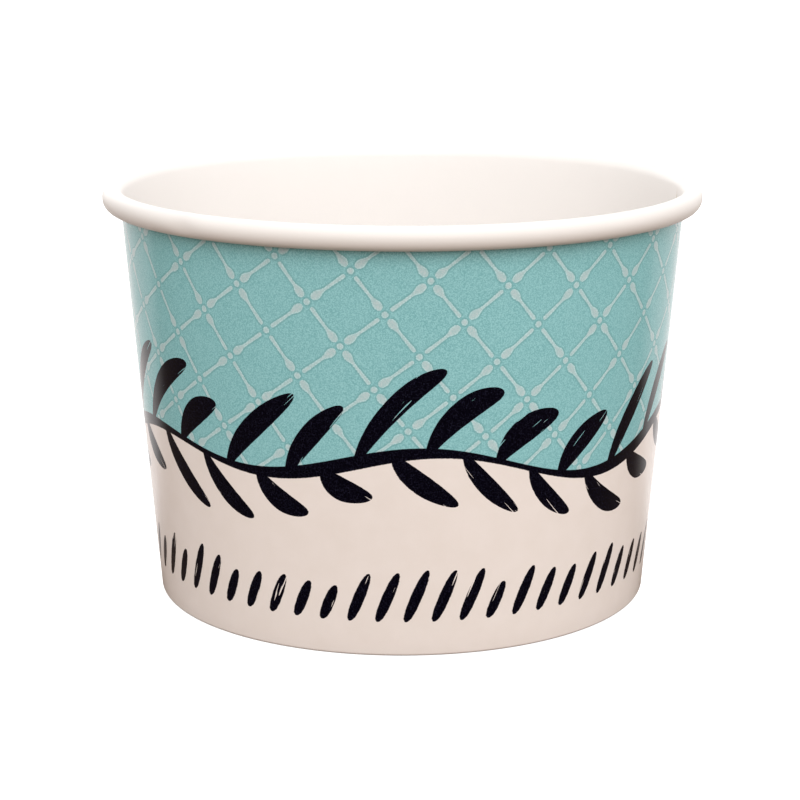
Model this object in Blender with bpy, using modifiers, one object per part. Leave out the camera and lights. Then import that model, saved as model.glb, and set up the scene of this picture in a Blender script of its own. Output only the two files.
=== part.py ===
"""Paper ice cream cup, about 350 ml, empty: a conical board wall with a rolled rim and a
folded foot, and a round bottom panel whose turned-down skirt is clamped in that foot.

Run it with: blender --background --python part.py
Units are metres, +Z is up, and the origin is the middle of the foot, on the table.
The printed front faces -Y, and the side seam is just behind +X.
"""

import math

import bmesh
import bpy
from mathutils import Matrix

MM = 0.001

# Driving sizes
RIM_DIAMETER = 97.3 * MM
HEIGHT = 67.2 * MM
WALL_TAPER = math.radians(4.7)
BEAD_WIDTH = 3.3 * MM
BEAD_HEIGHT = 3.7 * MM
WALL_BOARD = 0.45 * MM
BOTTOM_BOARD = 0.40 * MM
FLOOR_HEIGHT = 7.0 * MM
HEM_HEIGHT = 6.0 * MM
CLEARANCE = 0.3 * MM

# The rolled rim's loose edge stops this far round the bead, just clear of the wall
CURL_END = math.radians(-126.0)
FOOT_FOLD_RADIUS = 0.3 * MM
BOTTOM_BEND_RADIUS = 0.7 * MM

# The side seam, where one edge of the wall's blank is glued over the other. It is turned this
# far from +X towards the back
SEAM_TURN = math.radians(8.0)
SEAM_WIDTH = 7.0 * MM
SEAM_STEP = 0.40 * MM
SEAM_FOOT = 0.9 * MM

# Where the upper colour of the print gives way to the lower one
PRINT_BORDER = 28.0 * MM

# How finely round shapes are divided
TURN_STEPS = 72
CURL_STEPS = 18
FOLD_STEPS = 3
BEND_STEPS = 3

# Colours are linear RGB
TEAL_INK = (0.215, 0.470, 0.460, 1.0)
CREAM_INK = (0.800, 0.690, 0.620, 1.0)
WHITE_BOARD = (0.900, 0.870, 0.835, 1.0)

slope = math.tan(WALL_TAPER)
lean = math.cos(WALL_TAPER)

# The rolled rim's section is an upright oval. These are its centre, the half axes of its
# board's middle line, and the place on that line where the wall's line touches it
bead_centre = ((RIM_DIAMETER - BEAD_WIDTH) / 2, HEIGHT - BEAD_HEIGHT / 2)
roll_across = (BEAD_WIDTH - WALL_BOARD) / 2
roll_up = (BEAD_HEIGHT - WALL_BOARD) / 2
roll_start = math.pi - math.atan(roll_up / roll_across * slope)


def arc(centre, across, up, start, end, steps):
    """Points on an ellipse with these half axes in the (radius, height) plane, from one angle
    to another."""
    turn = (end - start) / steps
    return [
        (
            centre[0] + across * math.cos(start + turn * i),
            centre[1] + up * math.sin(start + turn * i),
        )
        for i in range(steps + 1)
    ]


def wall_middle(height):
    """The radius of the middle of the wall's board, whose line is tangent to the rolled rim."""
    top = (
        bead_centre[0] + roll_across * math.cos(roll_start),
        bead_centre[1] + roll_up * math.sin(roll_start),
    )
    return top[0] - (top[1] - height) * slope


def wall_outside(height):
    """The radius of the wall's printed face."""
    return wall_middle(height) + WALL_BOARD / 2 / lean


def board_section(middle, thickness):
    """Both faces of a sheet that follows the middle line: down the line on its left side, then
    back on its right. Each point moves along the bisector of its two runs, so the sheet keeps
    its thickness round the bends."""
    left = []
    right = []
    for i, (radius, height) in enumerate(middle):
        before = middle[max(i - 1, 0)]
        after = middle[min(i + 1, len(middle) - 1)]
        runs = []
        for a, b in ((before, (radius, height)), ((radius, height), after)):
            length = math.dist(a, b)
            if length > 0:
                runs.append(((b[0] - a[0]) / length, (b[1] - a[1]) / length))
        normal = (
            -sum(run[1] for run in runs) / len(runs),
            sum(run[0] for run in runs) / len(runs),
        )
        reach = thickness / 2 / (normal[0] ** 2 + normal[1] ** 2)
        left.append((radius + normal[0] * reach, height + normal[1] * reach))
        right.append((radius - normal[0] * reach, height - normal[1] * reach))
    return left + right[::-1]


def wall_line():
    """The middle of the wall's board, from the rolled rim's loose edge, over the rim, down the
    cone, round the folded foot and up to the top of the hem."""
    points = arc(bead_centre, roll_across, roll_up, CURL_END, roll_start, CURL_STEPS)
    points.append((wall_middle(PRINT_BORDER), PRINT_BORDER))
    # The fold holds the bottom's skirt with a clearance on each of its sides
    hem_offset = (WALL_BOARD + 2 * CLEARANCE + BOTTOM_BOARD) / lean
    fold = FOOT_FOLD_RADIUS
    fold_height = WALL_BOARD / 2 + fold
    fold_inset = fold / lean
    outer_fold = (wall_middle(fold_height) - fold_inset, fold_height)
    inner_fold = (wall_middle(fold_height) - hem_offset + fold_inset, fold_height)
    down = -math.pi / 2
    points += arc(outer_fold, fold, fold, -WALL_TAPER, down, FOLD_STEPS)
    points += arc(inner_fold, fold, fold, down, -math.pi - WALL_TAPER, FOLD_STEPS)
    points.append((wall_middle(HEM_HEIGHT) - hem_offset, HEM_HEIGHT))
    return points


def bottom_line():
    """The middle of the bottom panel, from the cup's axis out to its rounded edge and down
    the skirt, which runs beside the wall."""
    inset = (WALL_BOARD / 2 + CLEARANCE + BOTTOM_BOARD / 2) / lean
    middle_height = FLOOR_HEIGHT - BOTTOM_BOARD / 2
    round_off = BOTTOM_BEND_RADIUS
    bend_height = middle_height - round_off
    bend = (wall_middle(bend_height) - inset - round_off / lean, bend_height)
    skirt_foot = WALL_BOARD + CLEARANCE
    points = [(0.0, middle_height)]
    points += arc(bend, round_off, round_off, math.pi / 2, -WALL_TAPER, BEND_STEPS)
    points.append((wall_middle(skirt_foot) - inset, skirt_foot))
    return points


def turned(name, section, closed, collection):
    """A named object turned about Z from its section, given as (radius, height) points that
    run down the outer side."""
    mesh = bpy.data.meshes.new(name)
    count = len(section)
    edges = [(i, i + 1) for i in range(count - 1)]
    if closed:
        edges.append((count - 1, 0))
    mesh.from_pydata([(r, 0.0, z) for r, z in section], edges, [])
    obj = bpy.data.objects.new(name, mesh)
    collection.objects.link(obj)
    screw = obj.modifiers.new("turn", "SCREW")
    screw.axis = "Z"
    screw.steps = TURN_STEPS
    screw.render_steps = TURN_STEPS
    screw.use_smooth_shade = True
    screw.use_merge_vertices = not closed
    screw.merge_threshold = 0.00001
    return obj


def board_material(name, colour, roughness):
    """A coated board or ink, as a Principled surface."""
    material = bpy.data.materials.new(name)
    material.use_nodes = True
    shader = material.node_tree.nodes["Principled BSDF"]
    shader.inputs["Base Color"].default_value = colour
    shader.inputs["Roughness"].default_value = roughness
    shader.inputs["Metallic"].default_value = 0.0
    return material


def apply_modifiers(obj):
    """Replaces an object's mesh by what its modifiers make of it."""
    graph = bpy.context.evaluated_depsgraph_get()
    mesh = bpy.data.meshes.new_from_object(obj.evaluated_get(graph))
    obj.modifiers.clear()
    obj.data = mesh
    mesh.name = obj.name


def seam_lap(helpers):
    """The outer layer of the side seam: a slice of a ring that is sunk in the wall's board and
    stands one step proud of the printed face."""
    top = HEIGHT - BEAD_HEIGHT - CLEARANCE
    sunk = -WALL_BOARD / 2
    ring = [
        (wall_outside(top) + SEAM_STEP, top),
        (wall_outside(SEAM_FOOT) + SEAM_STEP, SEAM_FOOT),
        (wall_outside(SEAM_FOOT) + sunk, SEAM_FOOT),
        (wall_outside(top) + sunk, top),
    ]
    lap = turned("seam_lap", ring, True, helpers)
    slicer_mesh = bpy.data.meshes.new("seam_slicer")
    shape = bmesh.new()
    bmesh.ops.create_cube(shape, size=1.0)
    bmesh.ops.scale(shape, vec=(RIM_DIAMETER, SEAM_WIDTH, 2 * HEIGHT), verts=shape.verts)
    bmesh.ops.translate(shape, vec=(RIM_DIAMETER / 2, 0.0, 0.0), verts=shape.verts)
    turn = Matrix.Rotation(SEAM_TURN, 3, "Z")
    bmesh.ops.rotate(shape, cent=(0.0, 0.0, 0.0), matrix=turn, verts=shape.verts)
    shape.to_mesh(slicer_mesh)
    shape.free()
    slicer = bpy.data.objects.new("seam_slicer", slicer_mesh)
    helpers.objects.link(slicer)
    keep = lap.modifiers.new("slice", "BOOLEAN")
    keep.operation = "INTERSECT"
    keep.object = slicer
    for helper in (lap, slicer):
        helper.hide_render = True
        helper.display_type = "WIRE"
    return lap


def paint_wall(wall):
    """Gives the wall's faces the print's two fields of colour outside, and white board on the
    inside, the rolled rim and the inside of the fold."""
    teal = board_material("teal_ink", TEAL_INK, 0.45)
    cream = board_material("cream_ink", CREAM_INK, 0.50)
    white = board_material("white_board", WHITE_BOARD, 0.40)
    for material in (white, teal, cream):
        wall.data.materials.append(material)
    bead_bottom = HEIGHT - BEAD_HEIGHT
    for face in wall.data.polygons:
        radius = math.hypot(face.center.x, face.center.y)
        height = face.center.z
        printed = radius > wall_middle(height) and height < bead_bottom
        below_foot = height < WALL_BOARD / 2
        if printed and height > PRINT_BORDER:
            face.material_index = 1
        elif printed or below_foot:
            face.material_index = 2
        else:
            face.material_index = 0


def make_wall(parts, helpers):
    """The side wall: one sheet of board with its rolled rim, seam lap and folded foot."""
    wall = turned("cup_wall", board_section(wall_line(), WALL_BOARD), True, parts)
    join = wall.modifiers.new("seam", "BOOLEAN")
    join.operation = "UNION"
    join.object = seam_lap(helpers)
    apply_modifiers(wall)
    paint_wall(wall)
    wall.data.set_sharp_from_angle(angle=math.radians(40))
    return wall


def make_bottom(parts):
    """The bottom: a round panel of board with a turned-down skirt."""
    bottom = turned("cup_bottom", board_section(bottom_line(), BOTTOM_BOARD), False, parts)
    bottom.data.materials.append(board_material("bottom_board", WHITE_BOARD, 0.40))
    return bottom


def clear_scene():
    """Removes the objects and collections that the file starts with."""
    for obj in list(bpy.data.objects):
        bpy.data.objects.remove(obj)
    for collection in list(bpy.data.collections):
        bpy.data.collections.remove(collection)


def new_collection(name):
    """A collection in the scene."""
    collection = bpy.data.collections.new(name)
    bpy.context.scene.collection.children.link(collection)
    return collection


def main():
    clear_scene()
    parts = new_collection("paper_ice_cream_cup")
    helpers = new_collection("seam_helpers")
    make_wall(parts, helpers)
    make_bottom(parts)


main()
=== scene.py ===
import math

import bpy
import numpy as np
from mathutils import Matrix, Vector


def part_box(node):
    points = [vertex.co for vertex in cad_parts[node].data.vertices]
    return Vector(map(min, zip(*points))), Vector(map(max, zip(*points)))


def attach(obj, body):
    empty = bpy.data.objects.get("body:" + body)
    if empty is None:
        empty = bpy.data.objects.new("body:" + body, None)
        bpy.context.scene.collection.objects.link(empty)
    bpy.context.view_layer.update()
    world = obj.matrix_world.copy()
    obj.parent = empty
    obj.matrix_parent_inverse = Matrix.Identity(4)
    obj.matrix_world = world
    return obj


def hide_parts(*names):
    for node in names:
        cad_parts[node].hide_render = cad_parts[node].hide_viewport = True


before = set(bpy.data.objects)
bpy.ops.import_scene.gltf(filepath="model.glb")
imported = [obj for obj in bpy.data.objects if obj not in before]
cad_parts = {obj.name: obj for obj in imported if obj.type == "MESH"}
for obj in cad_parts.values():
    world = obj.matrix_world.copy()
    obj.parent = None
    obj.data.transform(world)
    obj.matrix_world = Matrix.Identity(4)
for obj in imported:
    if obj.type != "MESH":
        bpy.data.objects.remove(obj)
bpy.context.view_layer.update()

# The wall's board.
# One sheet of coated board, cut as a flat arc, wrapped into a cone and lapped just behind +X. Its
# lower edge is folded in and up round the bottom panel, and its upper edge is rolled into the rim.

MM = 0.001
foot_low, rim_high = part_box("cup_wall")
RIM_RADIUS = rim_high.x
RIM_TOP = rim_high.z
TAPER = math.radians(4.7)
BOARD = 0.45 * MM
ROLL = np.array([1.65, 1.85]) * MM
ROLL_END = math.radians(-128.0)
FOLD_RADIUS = 0.3 * MM
SKIRT_ROOM = 1.0 * MM
HEM_TOP = 6.0 * MM
HEM_RIBS = 80
RIB_DEPTH = 0.10 * MM
SEAM_TURN = math.radians(98.0)
LAP_WIDTH = 7.0 * MM
LAP_EASE = 4.0 * MM
LAP_GAP = 0.02 * MM
COLUMNS = 480
ROLL_ROWS, WALL_ROWS, FOLD_ROWS, HEM_ROWS = 26, 28, 8, 6
CREASE = math.radians(50.0)

# The roll's section is an upright oval. These are its centre, the half axes of its board's
# middle line, and the angle on that line where the wall's line touches it
roll_centre = np.array([RIM_RADIUS, RIM_TOP]) - ROLL
roll_reach = ROLL - BOARD / 2
roll_start = math.pi - math.atan(roll_reach[1] / roll_reach[0] * math.tan(TAPER))


def ring_arc(centre, reach, start, end, rows):
    """Points on a circle, or on an oval of two half axes, in the (radius, height) plane:
    centre + reach * (cos t, sin t)."""
    t = np.linspace(start, end, rows)
    return centre + reach * np.stack([np.cos(t), np.sin(t)], axis=1)


def wall_middle(height):
    """Radius of the middle of the board at a height: the line that leans out by the taper and
    touches the roll's middle line."""
    touch = roll_centre + roll_reach * np.array([math.cos(roll_start), math.sin(roll_start)])
    return touch[0] + (height - touch[1]) * math.tan(TAPER)


def sheet_line():
    """Middle line of the sheet, from the rolled rim's loose edge over the rim, down the cone,
    round the fold and up the hem, with its unit normal towards the printed side. The last
    array is each point's height above the foot crease, measured along the sheet."""
    lean = math.cos(TAPER)
    roll = ring_arc(roll_centre, roll_reach, ROLL_END, roll_start, ROLL_ROWS)
    crease = BOARD / 2 + FOLD_RADIUS
    heights = np.linspace(roll[-1, 1], crease, WALL_ROWS)[1:-1]
    wall = np.stack([wall_middle(heights), heights], axis=1)
    shift = (BOARD + SKIRT_ROOM) / lean
    outer = np.array([wall_middle(crease) - FOLD_RADIUS / lean, crease])
    inner = np.array([wall_middle(crease) - shift + FOLD_RADIUS / lean, crease])
    down = -math.pi / 2
    fold_out = ring_arc(outer, FOLD_RADIUS, -TAPER, down, FOLD_ROWS)
    fold_in = ring_arc(inner, FOLD_RADIUS, down, -math.pi - TAPER, FOLD_ROWS)
    rises = np.linspace(crease, HEM_TOP, HEM_ROWS)[1:]
    hem = np.stack([wall_middle(rises) - shift, rises], axis=1)
    points = np.concatenate([roll, wall, fold_out, fold_in, hem])
    step = np.gradient(points, axis=0)
    step /= np.linalg.norm(step, axis=1, keepdims=True)
    across = np.stack([-step[:, 1], step[:, 0]], axis=1)
    run = np.concatenate([[0.0], np.cumsum(np.linalg.norm(np.diff(points, axis=0), axis=1))])
    foot = ROLL_ROWS + WALL_ROWS - 2
    return points, across, run[foot] + (points[foot, 1] - foot_low.z) / lean - run


def ease(x):
    """Smooth step from 0 to 1: 3x² - 2x³ on x held between 0 and 1."""
    x = np.clip(x, 0.0, 1.0)
    return x * x * (3 - 2 * x)


line, line_normal, sheet_height = sheet_line()
half_round = math.pi + np.arcsin(LAP_WIDTH / 2 / line[:, 0])
share = np.linspace(-1.0, 1.0, COLUMNS + 1)[:, None]
turn = SEAM_TURN - math.pi + share * half_round

# The end of the sheet rises onto its beginning, a board's thickness up. In the roll and the fold
# the two layers are pressed instead, each to a wedge, and together stay one board thick
PRESSED_AT_FOLD = 4.0 * MM
PRESSED_AT_RIM = 6.0 * MM
PRESS_EASE = 3.0 * MM
WEDGE_MOST = 0.98
from_end = (1 - share) * half_round * line[:, 0]
from_start = (1 + share) * half_round * line[:, 0]
over = ease((LAP_WIDTH + LAP_EASE - from_end) / LAP_EASE)
in_fold = ease((PRESSED_AT_FOLD - np.abs(sheet_height)) / PRESS_EASE)
in_roll = ease((sheet_height - (RIM_TOP - PRESSED_AT_RIM)) / PRESS_EASE)
pressed = np.maximum(in_fold, in_roll)
wedge_over = pressed * np.clip(1.0 - from_end / LAP_WIDTH, 0.0, WEDGE_MOST)
wedge_under = pressed * np.clip(1.0 - from_start / LAP_WIDTH, 0.0, WEDGE_MOST)
offset = (1 - pressed) * over * (BOARD + LAP_GAP) + (wedge_over - wedge_under) * BOARD / 2
thickness = BOARD * (1 - wedge_over - wedge_under)

# The ribs of the hem start this far past the foot crease
RIBS_START = 2.2 * MM
RIBS_EASE = 0.8 * MM
# The mouth is a little small and low, and waves in and out and up and down round its edge. Each
# wave is its number in a turn, its size and its start
MOUTH_IN = 0.13 * MM
MOUTH_DOWN = 0.06 * MM
WAVES_IN = ((1, 0.05 * MM, -math.pi / 2), (2, -0.05 * MM, 0.0), (3, 0.02 * MM, 1.9))
WAVES_UP = ((2, 0.04 * MM, 2.2), (5, 0.02 * MM, 0.7))
# The faint flat in the roll, where it was pressed in
FLAT_TURN = -0.735
FLAT_SPREAD = 0.05
FLAT_DEPTH = 0.30 * MM


def round_the_edge(waves):
    """The sum of size * cos(number * t + start) over the waves."""
    return sum(size * np.cos(number * turn + start) for number, size, start in waves)


def sheet_side(side):
    """One face of the sheet: the middle line moved along its normal by the lap's offset and half
    the thickness, carried round the axis as (r sin t, -r cos t, z). The tool that closed the hem
    left ribs on its plain side and grooves on the other. The mouth's waves grow with the cube of
    the height, and the flat fades round the rim as exp(-x²)."""
    ribbed = ease((-RIBS_START - sheet_height) / RIBS_EASE)
    ribs = RIB_DEPTH * ribbed * (0.5 - 0.5 * np.cos(HEM_RIBS * turn))
    reach = offset + side * thickness / 2 - ribs
    r = line[:, 0] + line_normal[:, 0] * reach
    z = line[:, 1] + line_normal[:, 1] * reach
    rise = np.clip(z / RIM_TOP, 0.0, 1.0)
    r = r + (round_the_edge(WAVES_IN) - MOUTH_IN) * rise**3
    z = z + (round_the_edge(WAVES_UP) - MOUTH_DOWN) * rise**3
    outermost = np.clip((line[:, 0] - roll_centre[0]) / roll_reach[0], 0.0, 1.0) ** 2
    r = r - FLAT_DEPTH * outermost * np.exp(-(((turn - FLAT_TURN) / FLAT_SPREAD) ** 2))
    return np.stack([r * np.sin(turn), -r * np.cos(turn), z], axis=2)


def grid_faces(index):
    """Quads between neighbours of a grid of vertex numbers."""
    corners = [index[:-1, :-1], index[:-1, 1:], index[1:, 1:], index[1:, :-1]]
    return np.stack(corners, axis=2).reshape(-1, 4)


# The faces are the printed side, the plain side, and the cut edges: the roll's, the hem's, and
# the two at the seam. Each kind's number is that of its first part
PRINTED, PLAIN, CUT = 0, 1, 2
rows = len(line)
printed_index = np.arange((COLUMNS + 1) * rows).reshape(COLUMNS + 1, rows)
plain_index = printed_index + printed_index.size
sheet_parts = [
    grid_faces(printed_index),
    grid_faces(plain_index)[:, ::-1],
    grid_faces(np.stack([printed_index[:, 0], plain_index[:, 0]], axis=1))[:, ::-1],
    grid_faces(np.stack([printed_index[:, -1], plain_index[:, -1]], axis=1)),
    grid_faces(np.stack([printed_index[0], plain_index[0]], axis=0)),
    grid_faces(np.stack([printed_index[-1], plain_index[-1]], axis=0))[:, ::-1],
]
sheet_faces = np.concatenate(sheet_parts)
sheet_points = np.concatenate([sheet_side(1.0).reshape(-1, 3), sheet_side(-1.0).reshape(-1, 3)])
sheet_mesh = bpy.data.meshes.new("cup_sheet")
sheet_mesh.from_pydata(sheet_points, [], sheet_faces)
sheet_mesh.shade_smooth()
sheet_mesh.set_sharp_from_angle(angle=CREASE)
part_sizes = np.array([len(part) for part in sheet_parts])
face_kind = np.repeat([PRINTED, PLAIN, CUT, CUT, CUT, CUT], part_sizes)
sheet_mesh.polygons.foreach_set("material_index", face_kind)

# Two maps give each point's place on the flat sheet in millimetres: "blank" in the plane of the
# cut sheet, with the front's middle upright, and "course" as the distance round the foot and the
# height above it
FOOT_RADIUS = wall_middle(0.0) + BOARD / 2 / math.cos(TAPER)
blank_radius = FOOT_RADIUS / math.sin(TAPER) + sheet_height
blank_turn = turn * math.sin(TAPER)
blank_place = np.stack(
    [
        blank_radius * np.sin(blank_turn),
        blank_radius * np.cos(blank_turn) - FOOT_RADIUS / math.sin(TAPER),
    ],
    axis=2,
)
course_place = np.stack([turn * FOOT_RADIUS, sheet_height + 0 * turn], axis=2)
loop_points = sheet_faces.reshape(-1)
for name, place in (("blank", blank_place), ("course", course_place)):
    both_sides = np.concatenate([place.reshape(-1, 2)] * 2) / MM
    layer = sheet_mesh.uv_layers.new(name=name)
    layer.data.foreach_set("uv", both_sides[loop_points].astype(np.float32).ravel())

# The bake's own map cuts the sheet into four runs. The printed side's fill the upper part of
# the picture, two by two, and the plain side's and the cut edges lie in strips below them
RUNS = 4
PLAIN_STRIP = 0.16
EDGE_STRIP = 0.012
EDGE_INSET = 0.2
MARGIN = 0.004
INNER = 1 - 2 * MARGIN
corner_column = (loop_points % printed_index.size) // rows
corner_row = loop_points % rows
face_of_loop = np.repeat(np.arange(len(sheet_faces)), 4)
first_column = corner_column.reshape(-1, 4).min(axis=1)[face_of_loop]
run_columns = COLUMNS // RUNS
run_number = np.minimum(first_column // run_columns, RUNS - 1)
in_run = (corner_column - run_number * run_columns) / run_columns
down_sheet = 1.0 - (sheet_height[0] - sheet_height[corner_row]) / np.ptp(sheet_height)
kind_of_loop = face_kind[face_of_loop]
strips_high = PLAIN_STRIP + EDGE_STRIP
block_high = (1.0 - strips_high) / 2
printed_x = (run_number % 2 + MARGIN + in_run * INNER) / 2
printed_y = strips_high + (run_number // 2 + MARGIN + down_sheet * INNER) * block_high
plain_x = (run_number + MARGIN + in_run * INNER) / RUNS
plain_y = EDGE_STRIP + (MARGIN + down_sheet * INNER) * PLAIN_STRIP
on_plain = (loop_points >= printed_index.size).astype(float)
part_of_loop = np.repeat(np.arange(len(sheet_parts)), 4 * part_sizes)
edge_number = part_of_loop - CUT
edge_along = np.where(edge_number < 2, corner_column / COLUMNS, corner_row / (rows - 1))
edge_x = MARGIN + edge_along * INNER
edge_y = (edge_number + EDGE_INSET + (1 - 2 * EDGE_INSET) * on_plain) * EDGE_STRIP / 4
kinds = [kind_of_loop == PRINTED, kind_of_loop == PLAIN]
bake_uv = np.stack(
    [
        np.select(kinds, [printed_x, plain_x], edge_x),
        np.select(kinds, [printed_y, plain_y], edge_y),
    ],
    axis=1,
)
layer = sheet_mesh.uv_layers.new(name="OFBake")
layer.data.foreach_set("uv", bake_uv.astype(np.float32).ravel())

# Inks and board.
# The outside is printed under a satin varnish: teal with a paler trellis above, cream below, and
# a near black brushed ornament over both. The inside and the rim are bare white coated board, with
# painted shade on the roll's lower side.


class Tone:
    """A socket of a material's nodes. Python's operators on it add Math nodes, and node() adds
    any other node."""

    def __init__(self, tree, socket=None):
        self.tree = tree
        self.socket = socket

    def node(self, kind, settings=(), sockets=(), output=0):
        """Adds a node: first its settings, a ramp's stops among them, then its sockets' values
        or links. Gives one of its outputs."""
        made = self.tree.nodes.new(kind)
        for name, value in dict(settings).items():
            if name == "stops":
                ramp = made.color_ramp
                while len(ramp.elements) < len(value):
                    ramp.elements.new(0.5)
                for element, (place, shade) in zip(ramp.elements, value):
                    element.position = place
                    element.color = (shade, shade, shade, 1.0)
            else:
                setattr(made, name, value)
        for name, value in dict(sockets).items():
            if isinstance(value, Tone):
                self.tree.links.new(value.socket, made.inputs[name])
            else:
                made.inputs[name].default_value = value
        return Tone(self.tree, made.outputs[output])

    def math(self, operation, *others, clamp=False):
        """A Math node on self and the other values."""
        settings = {"operation": operation, "use_clamp": clamp}
        return self.node("ShaderNodeMath", settings, dict(enumerate((self, *others))))

    def __add__(self, other):
        return self.math("ADD", other)

    def __sub__(self, other):
        return self.math("SUBTRACT", other)

    def __rsub__(self, other):
        return self * -1.0 + other

    def __mul__(self, other):
        return self.math("MULTIPLY", other)

    def __truediv__(self, other):
        return self.math("DIVIDE", other)

    def __abs__(self):
        return self.math("ABSOLUTE")

    def __lt__(self, other):
        return self.math("LESS_THAN", other)

    __radd__ = __add__
    __rmul__ = __mul__

    def other(self, output):
        """Another output of the same node."""
        return Tone(self.tree, self.socket.node.outputs[output])

    def whole(self):
        """The whole number at or below self."""
        return self.math("FLOOR")

    def nearest(self):
        """The whole number nearest to self."""
        return self.math("ROUND")

    def left_over(self, step):
        """What is left of self after whole steps, from 0 up to the step."""
        return self.math("FLOORED_MODULO", step)

    def wave(self, times, start):
        """sin(times * self + start)"""
        return (self * times + start).math("SINE")

    def most(self, other):
        """The larger of the two."""
        return self.math("MAXIMUM", other)

    def ramped(self, slope, start):
        """start + slope * self, held between 0 and 1."""
        return self.math("MULTIPLY_ADD", slope, start, clamp=True)

    def inked(self, blur):
        """Ink coverage from a depth in millimetres inside a shape's edge: 0 outside, 1 inside,
        and a straight run between them as wide as the blur."""
        return self.ramped(1 / blur, 0.5)

    def over(self, below, above):
        """The colour below where self is 0, and the one above where it is 1."""
        return self.node(
            "ShaderNodeMix", {"data_type": "RGBA"}, {0: self, 6: below, 7: above}, output=2
        )


def srgb(red, green, blue):
    """Linear colour of a picture's 0 to 255 colour."""
    part = np.array([red, green, blue]) / 255
    linear = np.where(part < 0.04045, part / 12.92, ((part + 0.055) / 1.055) ** 2.4)
    return (*map(float, linear), 1.0)


def new_finish(name, values):
    """A material with a Principled surface and these values on its sockets, with a Tone that
    adds its nodes, and its shader."""
    material = bpy.data.materials.new(name)
    material.use_nodes = True
    shader = material.node_tree.nodes["Principled BSDF"]
    for socket, value in values.items():
        shader.inputs[socket].default_value = value
    return material, Tone(material.node_tree), shader


def coloured(first, shader, colour):
    """Links a colour that varies to the shader's base colour."""
    first.tree.links.new(colour.socket, shader.inputs["Base Color"])


def bumped(first, shader, height, depth):
    """Links a height between 0 and 1 to the shader's normal, as relief of that depth."""
    relief = first.node("ShaderNodeBump", {}, {"Height": height, "Distance": depth, "Strength": 1.0})
    first.tree.links.new(relief.socket, shader.inputs["Normal"])


TEAL = srgb(132, 185, 187)
TEAL_DEEP = srgb(114, 171, 173)
TEAL_PALE = srgb(151, 202, 203)
TEAL_VERGE = srgb(108, 160, 161)
TRELLIS = srgb(190, 206, 206)
TRELLIS_EDGE = srgb(192, 222, 222)
TRELLIS_DEEP = srgb(168, 198, 198)
CREAM = srgb(240, 229, 222)
CREAM_SHADE = srgb(233, 221, 212)
BLACK = srgb(0, 0, 9)
BLACK_PALE = srgb(30, 30, 46)
WHITE_BOARD = srgb(231, 226, 222)
# Painted shade: the darker, warmer board on the lower side of the rim's roll
ROLL_PAINTED_SHADE = srgb(222, 212, 203)
CUT_BOARD = srgb(214, 203, 188)

# The varnish is a thin coat over inks that have no gloss of their own
VARNISHED = {
    "Roughness": 0.45,
    "Specular IOR Level": 0.0,
    "Coat Weight": 1.0,
    "Coat Roughness": 0.14,
    "Coat IOR": 1.20,
}
# The ink's fine grain and broad clouds, in waves a metre, and how far in millimetres the grain
# frays an edge
GRAIN_SCALE = 5200.0
CLOUD_SCALE = 260.0
RAGGED_EDGE = 0.14
# The Object output of a Texture Coordinate node
OBJECT_PLACE = 3
ink, first, shader = new_finish("printed_board", VARNISHED)
place = first.node("ShaderNodeTexCoord", output=OBJECT_PLACE)
grain = first.node("ShaderNodeTexNoise", {}, {"Vector": place, "Scale": GRAIN_SCALE, "Detail": 1.0})
clouds = first.node("ShaderNodeTexNoise", {}, {"Vector": place, "Scale": CLOUD_SCALE, "Detail": 3.0})

course = first.node("ShaderNodeUVMap", {"uv_map": "course"})
around = course.node("ShaderNodeSeparateXYZ", {}, {0: course})
height = around.other("Y")
FOOT_MM = FOOT_RADIUS / MM
front_turn = around / FOOT_MM
ragged = (grain - 0.5) * RAGGED_EDGE

# The trellis: a lattice drawn on the flat sheet, in millimetres. Each bar runs from crossing to
# crossing, swells to a drop at one end, and leaves a bead free at the crossing. The drops sit at
# alternate ends, over a repeat of nine bars, and at the foot of every bar that starts higher than
# HIGH_ENDS above one chosen crossing
CROSSING = (4.15, 59.07)
BAR_ACROSS = (6.638, 5.034)
BAR_UP = (-5.008, 6.402)
BAR_OUTLINE = (
    (0.104, -0.15), (0.112, 0.22), (0.130, 0.42), (0.160, 0.56), (0.200, 0.63), (0.240, 0.65),
    (0.275, 0.58), (0.310, 0.46), (0.345, 0.35), (0.380, 0.27), (0.430, 0.24), (0.520, 0.25),
    (0.650, 0.28), (0.800, 0.33), (0.850, 0.31), (0.872, 0.18), (0.880, -0.15),
)
REPEAT = 9
HIGH_ENDS = -4.5
BEAD_RADIUS = 0.51

blank = first.node("ShaderNodeUVMap", {"uv_map": "blank"})
blank_split = blank.node("ShaderNodeSeparateXYZ", {}, {0: blank})
from_x = blank_split - CROSSING[0]
from_y = blank_split.other("Y") - CROSSING[1]
cell_area = BAR_ACROSS[0] * BAR_UP[1] - BAR_ACROSS[1] * BAR_UP[0]
across = from_x * (BAR_UP[1] / cell_area) - from_y * (BAR_UP[0] / cell_area)
up = from_y * (BAR_ACROSS[0] / cell_area) - from_x * (BAR_ACROSS[1] / cell_area)


def stroke_half(part, outline):
    """Half the width of a stroke in millimetres, read from its outline: a list of parts of its
    length and the half widths there. Where there is no stroke it is below zero."""
    low = min(half for _, half in outline)
    span = max(half for _, half in outline) - low
    stops = [(place, (half - low) / span) for place, half in outline]
    ramp = part.node("ShaderNodeValToRGB", {"stops": stops}, {"Fac": part})
    return ramp * span + low


def bars(along, beside, step, climb, beside_climb, shift, odd_start):
    """Depth inside the bars that run one way, in millimetres: half the bar's width at its
    place along, less the distance from its middle line. Every other bar of a repeat is turned
    end for end, from its first or its second, save those whose lower end is high on the cup."""
    number = along.whole()
    line_number = beside.nearest()
    turned = abs((number + shift).left_over(REPEAT).left_over(2.0) - odd_start)
    turned = turned * (number * climb + line_number * beside_climb < HIGH_ENDS)
    part = along - number
    part = turned + part * (1 - 2 * turned)
    return stroke_half(part, BAR_OUTLINE) - abs(beside - line_number) * step


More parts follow.
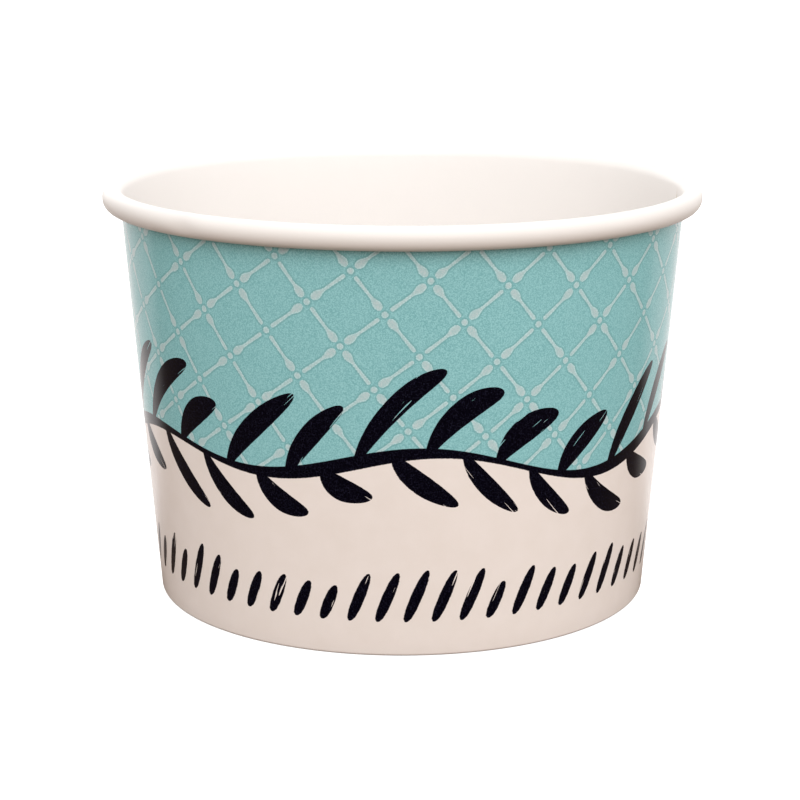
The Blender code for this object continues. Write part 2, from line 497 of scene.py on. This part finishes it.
step_across = math.hypot(*BAR_ACROSS)
step_up = math.hypot(*BAR_UP)
off_across = (across - across.nearest()) * step_across
off_up = (up - up.nearest()) * step_up
bead = BEAD_RADIUS - (off_across * off_across + off_up * off_up).math("SQRT")
climb_across, climb_up = BAR_ACROSS[1], BAR_UP[1]
rising = bars(across, up, step_up, climb_across, climb_up, shift=6.0, odd_start=0.0)
falling = bars(up, across, step_across, climb_up, climb_across, shift=1.0, odd_start=1.0)
bar_depth = rising.most(falling).most(bead) + ragged
INK_BLUR = 0.12
trellis = bar_depth.inked(INK_BLUR)
# The teal is a little deeper just outside the bars, and the bars are palest just inside
VERGE_WIDTH, VERGE_BLUR, VERGE_SHARE = 0.22, 0.20, 0.6
CORE_INSET, CORE_BLUR = 0.20, 0.14
bar_verge = (bar_depth + VERGE_WIDTH).inked(VERGE_BLUR) * VERGE_SHARE
bar_core = (bar_depth - CORE_INSET).inked(CORE_BLUR)

# The brushed garland: a stem that waves round the cup where the two fields meet, with leaves on
# both sides, and a row of dabs below it
LEAF_OUTLINE = (
    (0.000, 0.60), (0.100, 0.95), (0.250, 1.50), (0.450, 2.10), (0.620, 2.40), (0.750, 2.45),
    (0.840, 2.32), (0.900, 2.02), (0.945, 1.58), (0.975, 1.08), (0.993, 0.50), (1.000, -0.15),
)
DAB_OUTLINE = (
    (0.000, -0.15), (0.015, 0.25), (0.080, 0.62), (0.250, 0.86), (0.550, 0.92), (0.800, 0.76),
    (0.930, 0.50), (0.985, 0.22), (1.000, -0.15),
)
STEM_HEIGHT = 30.0
STEM_WAVES = ((2.3, 5.0, 0.9), (1.0, 3.0, 2.4))
STEM_HALF, STEM_SWELL, STEM_SWELL_START = 0.80, 0.35, 2.6
stem_line = STEM_HEIGHT
for size, number, start in STEM_WAVES:
    stem_line = size * front_turn.wave(number, start) + stem_line
rise = height - stem_line
above_border = rise.inked(INK_BLUR)
swell = front_turn.wave(STEM_WAVES[0][1], STEM_SWELL_START)
stem = STEM_HALF + STEM_SWELL * swell - abs(rise)

# Each stroke is from LENGTH_LEAST to LENGTH_LEAST + LENGTH_MORE times as long as stated
LENGTH_LEAST, LENGTH_MORE = 0.80, 0.40
# The brush's hairs, as noise that is drawn out along the stroke and differs from stroke to
# stroke. Where it passes DRY_FROM, a dry streak bites into the stroke
HAIRS_ACROSS, HAIRS_ALONG, HAIRS_STEP = 3.4, 0.20, 7.3
DRY_FROM, DRY_BITE = 0.765, 40.0


def dabs(outline, distance, count, length, lean, bend, seed):
    """Depth inside a row of brushed strokes that stand on a line: each leans and bends forward,
    lies in its own cell round the cup, and draws its length and its dry streaks by number."""
    cell = 2 * math.pi * FOOT_MM / count
    place_round = around - lean * distance - bend * distance * distance
    steps = place_round / cell + seed
    number = steps.whole()
    beside = (steps - number - 0.5) * cell
    number = number.left_over(float(count))
    draw = first.node("ShaderNodeTexWhiteNoise", {"noise_dimensions": "1D"}, {"W": number + seed})
    part = distance / (length * (LENGTH_LEAST + LENGTH_MORE * draw))
    hair = first.node(
        "ShaderNodeCombineXYZ",
        {},
        {0: beside * HAIRS_ACROSS, 1: distance * HAIRS_ALONG, 2: number * HAIRS_STEP},
    )
    streak = first.node("ShaderNodeTexNoise", {}, {"Vector": hair, "Scale": 1.0, "Detail": 0.0})
    dry = (streak - DRY_FROM).most(0.0) * DRY_BITE * part.most(0.0)
    return stroke_half(part, outline) - abs(beside) - dry - (part < 0.0) * STEM_HEIGHT


LEAF_COUNT, ROW_COUNT, ROW_HEIGHT = 25, 60, 5.6
BRUSH_BLUR = 0.09
upper = dabs(LEAF_OUTLINE, rise, LEAF_COUNT, length=11.2, lean=0.50, bend=0.030, seed=0.13)
lower = dabs(LEAF_OUTLINE, 0 - rise, LEAF_COUNT, length=7.8, lean=0.60, bend=0.045, seed=0.61)
row = dabs(DAB_OUTLINE, height - ROW_HEIGHT, ROW_COUNT, length=7.2, lean=0.38, bend=0.0, seed=0.37)
brushed = (stem.most(upper).most(lower).most(row) + ragged).inked(BRUSH_BLUR)

# The grain speckles each ink. A speckle is a slope and a start of how much the paler ink shows
TEAL_SPECKLE = (4.2, -1.6)
BAR_SPECKLE = (3.6, -1.3)
BLACK_SPECKLE = (4.0, -2.1)
teal = clouds.over(TEAL_DEEP, TEAL)
teal = grain.ramped(*TEAL_SPECKLE).over(teal, TEAL_PALE)
teal = bar_verge.over(teal, TEAL_VERGE)
bar = bar_core.over(TRELLIS_EDGE, TRELLIS)
bar = grain.ramped(*BAR_SPECKLE).over(TRELLIS_DEEP, bar)
cream = clouds.over(CREAM_SHADE, CREAM)
field = above_border.over(cream, trellis.over(teal, bar))
black = grain.ramped(*BLACK_SPECKLE).over(BLACK, BLACK_PALE)
# The print stops a little way up the hem, and the board is bare from there to its edge
PRINT_END = -3.0
printed = (height - PRINT_END).inked(INK_BLUR)
coloured(first, shader, printed.over(WHITE_BOARD, brushed.over(field, black)))
GRAIN_SHARE = 0.6
INK_RELIEF = 0.012 * MM
bumped(first, shader, grain * GRAIN_SHARE + clouds * (1 - GRAIN_SHARE), INK_RELIEF)

# The board is painted darker and warmer towards the roll's loose edge, round the roll's lower side:
# painted shade under the rim. The map is missing on the bottom panel, which counts as height 0
ROLL_SHADE_FROM = 68.5
ROLL_SHADE_FULL = 72.5
FIBRE_SCALE = 1500.0
FIBRE_RELIEF = 0.010 * MM
white, first, shader = new_finish("white_board", {"Roughness": 0.5, "Specular IOR Level": 0.3})
course = first.node("ShaderNodeUVMap", {"uv_map": "course"})
height = course.node("ShaderNodeSeparateXYZ", {}, {0: course}, output=1)
roll_shade_share = (height - ROLL_SHADE_FROM).ramped(1 / (ROLL_SHADE_FULL - ROLL_SHADE_FROM), 0.0)
coloured(first, shader, roll_shade_share.over(WHITE_BOARD, ROLL_PAINTED_SHADE))
place = first.node("ShaderNodeTexCoord", output=OBJECT_PLACE)
fibres = first.node("ShaderNodeTexNoise", {}, {"Vector": place, "Scale": FIBRE_SCALE, "Detail": 4.0})
bumped(first, shader, fibres, FIBRE_RELIEF)

cut = new_finish("cut_board", {"Base Color": CUT_BOARD, "Roughness": 0.8})[0]

sheet = bpy.data.objects.new("cup_sheet", sheet_mesh)
bpy.context.scene.collection.objects.link(sheet)
for finish in (ink, white, cut):
    sheet_mesh.materials.append(finish)
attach(sheet, "root")
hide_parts("cup_wall")

# The bottom panel.
# A disc of the same board, cut round and drawn into a shallow cap. Its skirt is sealed between
# the wall and the hem, so the panel sits a little above the table.

PANEL_BOARD = 0.40 * MM
panel_low, panel_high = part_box("cup_bottom")
PANEL_TOP = panel_high.z
PANEL_BEND = 0.7 * MM
PANEL_SAG = 0.25 * MM
SKIRT_GAP = 0.03 * MM
SKIRT_LIFT = 0.1 * MM
PANEL_COLUMNS = 240
DISC_ROWS, BEND_ROWS, SKIRT_ROWS = 16, 8, 8


def panel_line():
    """Middle line of the panel: from the axis out with a sag of (1 - x²)², round the bend, and
    down the skirt beside the wall."""
    lean = math.cos(TAPER)
    inset = (BOARD / 2 + SKIRT_GAP + PANEL_BOARD / 2) / lean
    flat = PANEL_TOP - PANEL_BOARD / 2
    bend_height = flat - PANEL_BEND
    bend = np.array([wall_middle(bend_height) - inset - PANEL_BEND / lean, bend_height])
    out = np.linspace(0.0, bend[0], DISC_ROWS)[:-1]
    disc = np.stack([out, flat - PANEL_SAG * (1 - (out / bend[0]) ** 2) ** 2], axis=1)
    corner = ring_arc(bend, PANEL_BEND, math.pi / 2, -TAPER, BEND_ROWS)
    falls = np.linspace(bend_height, panel_low.z + SKIRT_LIFT, SKIRT_ROWS)[1:]
    skirt = np.stack([wall_middle(falls) - inset, falls], axis=1)
    return np.concatenate([disc, corner, skirt])


# Both faces' section is turned about the axis as (r sin t, -r cos t, z), and its first and last
# points are the poles
panel_middle = panel_line()
step = np.gradient(panel_middle, axis=0)
step /= np.linalg.norm(step, axis=1, keepdims=True)
half_board = np.stack([-step[:, 1], step[:, 0]], axis=1) * PANEL_BOARD / 2
section = np.concatenate([panel_middle + half_board, (panel_middle - half_board)[::-1]])
spin = np.linspace(0.0, 2 * math.pi, PANEL_COLUMNS, endpoint=False)[:, None]
radius, level = section[1:-1].T
ring_points = np.stack([radius * np.sin(spin), -radius * np.cos(spin), level + 0 * spin], axis=2)
poles = np.array([[0.0, 0.0, section[0, 1]], [0.0, 0.0, section[-1, 1]]])
ring_count = PANEL_COLUMNS * len(radius)
ring_index = np.arange(ring_count).reshape(PANEL_COLUMNS, -1)
ring_index = np.concatenate([ring_index, ring_index[:1]])
top_pole, low_pole = ring_count, ring_count + 1
panel_faces = grid_faces(ring_index).tolist()
top_ring, low_ring = ring_index[:, 0].tolist(), ring_index[:, -1].tolist()
panel_faces += [[b, a, top_pole] for a, b in zip(top_ring, top_ring[1:])]
panel_faces += [[a, b, low_pole] for a, b in zip(low_ring, low_ring[1:])]
panel_mesh = bpy.data.meshes.new("bottom_panel")
panel_mesh.from_pydata(np.concatenate([ring_points.reshape(-1, 3), poles]), [], panel_faces)
panel_mesh.shade_smooth()
panel_mesh.set_sharp_from_angle(angle=CREASE)
panel = bpy.data.objects.new("bottom_panel", panel_mesh)
bpy.context.scene.collection.objects.link(panel)
panel_mesh.materials.append(white)
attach(panel, "root")
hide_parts("cup_bottom")

# The table, the studio's light and the camera.
# The cup stands on a pale paper sweep under soft lamps. To the camera it is white. The light that
# it throws on the cup is bright from behind, and as dull and warm as a table top's elsewhere.

TABLE_HALF = 3.0
SEEN_WHITE = {
    "Base Color": (0.8, 0.8, 0.8, 1.0),
    "Roughness": 1.0,
    "Specular IOR Level": 0.0,
    "Emission Color": (1.0, 1.0, 1.0, 1.0),
    "Emission Strength": 0.6,
}
THROWN_BEHIND = (0.92, 0.87, 0.86, 1.0)
THROWN_ELSEWHERE = (0.18, 0.125, 0.095, 1.0)
# What is bright is a wedge that opens towards the back: the place of its point on Y, how far back
# its sides run for each metre aside, and how many metres it fades in over
WEDGE_POINT = -0.0225
WEDGE_SLOPE = 0.5
WEDGE_FADE = 0.03

corners = TABLE_HALF * np.array([[-1, -1, 0], [1, -1, 0], [1, 1, 0], [-1, 1, 0]])
table_mesh = bpy.data.meshes.new("table")
table_mesh.from_pydata(corners, [], [(0, 1, 2, 3)])
table = bpy.data.objects.new("table", table_mesh)
bpy.context.scene.collection.objects.link(table)
sweep, first, shader = new_finish("sweep_paper", SEEN_WHITE)
place = first.node("ShaderNodeTexCoord", output=OBJECT_PLACE)
aside = place.node("ShaderNodeSeparateXYZ", {}, {0: place})
beyond = aside.other("Y") - abs(aside) * WEDGE_SLOPE - WEDGE_POINT
behind = beyond.ramped(1 / WEDGE_FADE, 0.0)
dull = first.node("ShaderNodeBsdfDiffuse", {}, {"Color": THROWN_ELSEWHERE})
bright = first.node("ShaderNodeBsdfDiffuse", {}, {"Color": THROWN_BEHIND})
thrown = first.node("ShaderNodeMixShader", {}, {0: behind, 1: dull, 2: bright})
to_camera = first.node("ShaderNodeLightPath")
seen = Tone(first.tree, shader.outputs[0])
paper = first.node("ShaderNodeMixShader", {}, {0: to_camera, 1: thrown, 2: seen})
first.tree.links.new(paper.socket, first.tree.nodes["Material Output"].inputs["Surface"])
table_mesh.materials.append(sweep)


def softbox(name, at, size, watts, mirrored=True):
    """A square area lamp that looks at the middle of the cup. Gloss mirrors it or doesn't."""
    lamp = bpy.data.lights.new(name, "AREA")
    lamp.shape = "SQUARE"
    lamp.size = size
    lamp.energy = watts
    holder = bpy.data.objects.new(name, lamp)
    bpy.context.scene.collection.objects.link(holder)
    holder.location = at
    holder.visible_camera = False
    holder.visible_glossy = mirrored
    aim = np.array([0.0, 0.0, RIM_TOP / 2]) - np.array(at)
    tilt = math.atan2(math.hypot(aim[0], aim[1]), -aim[2])
    holder.rotation_euler = (tilt, 0.0, math.atan2(-aim[0], aim[1]))


softbox("overhead", at=(0.0, 0.0, 0.9), size=0.9, watts=1.7)
softbox("front", at=(0.12, -0.96, 0.63), size=0.8, watts=7.8)
softbox("left", at=(-0.95, -0.05, 0.25), size=0.6, watts=1.0, mirrored=False)
softbox("right", at=(0.95, -0.05, 0.25), size=0.6, watts=1.6, mirrored=False)
softbox("back_left", at=(-0.42, 1.05, 0.30), size=0.6, watts=3.0)
softbox("back_right", at=(0.42, 1.05, 0.30), size=0.6, watts=1.6)

# The studio's walls are plain white to the camera, and light the cup a little less brightly
WALLS_SEEN, WALLS_LIT = 1.0, 0.82
world = bpy.data.worlds.new("studio")
world.use_nodes = True
walls = Tone(world.node_tree)
white_walls = {"Color": (1.0, 1.0, 1.0, 1.0)}
seen = walls.node("ShaderNodeBackground", {}, {**white_walls, "Strength": WALLS_SEEN})
lit = walls.node("ShaderNodeBackground", {}, {**white_walls, "Strength": WALLS_LIT})
to_camera = walls.node("ShaderNodeLightPath")
wall_light = walls.node("ShaderNodeMixShader", {}, {0: to_camera, 1: lit, 2: seen})
world.node_tree.links.new(wall_light.socket, world.node_tree.nodes["World Output"].inputs["Surface"])
bpy.context.scene.world = world
bpy.context.scene.view_settings.view_transform = "Standard"

# The camera's place and how far it looks down, in radians, fitted to the outlines in the
# photograph. Its focal length is in pixels of a picture 800 pixels wide
CAMERA_DISTANCE = 355.0 * MM
CAMERA_HEIGHT = 115.9 * MM
CAMERA_ASIDE = -0.31 * MM
CAMERA_PITCH = 0.23635
PICTURE_WIDTH = 800
FOCAL_LENGTH = 2188.6
SENSOR_WIDTH = 36.0
camera_data = bpy.data.cameras.new("camera")
camera = bpy.data.objects.new("camera", camera_data)
bpy.context.scene.collection.objects.link(camera)
camera.location = (CAMERA_ASIDE, -CAMERA_DISTANCE, CAMERA_HEIGHT)
camera.rotation_euler = (math.pi / 2 - CAMERA_PITCH, 0.0, 0.0)
camera_data.sensor_width = SENSOR_WIDTH
camera_data.lens = SENSOR_WIDTH * FOCAL_LENGTH / PICTURE_WIDTH
camera_data.clip_start = 0.01
bpy.context.scene.camera = camera
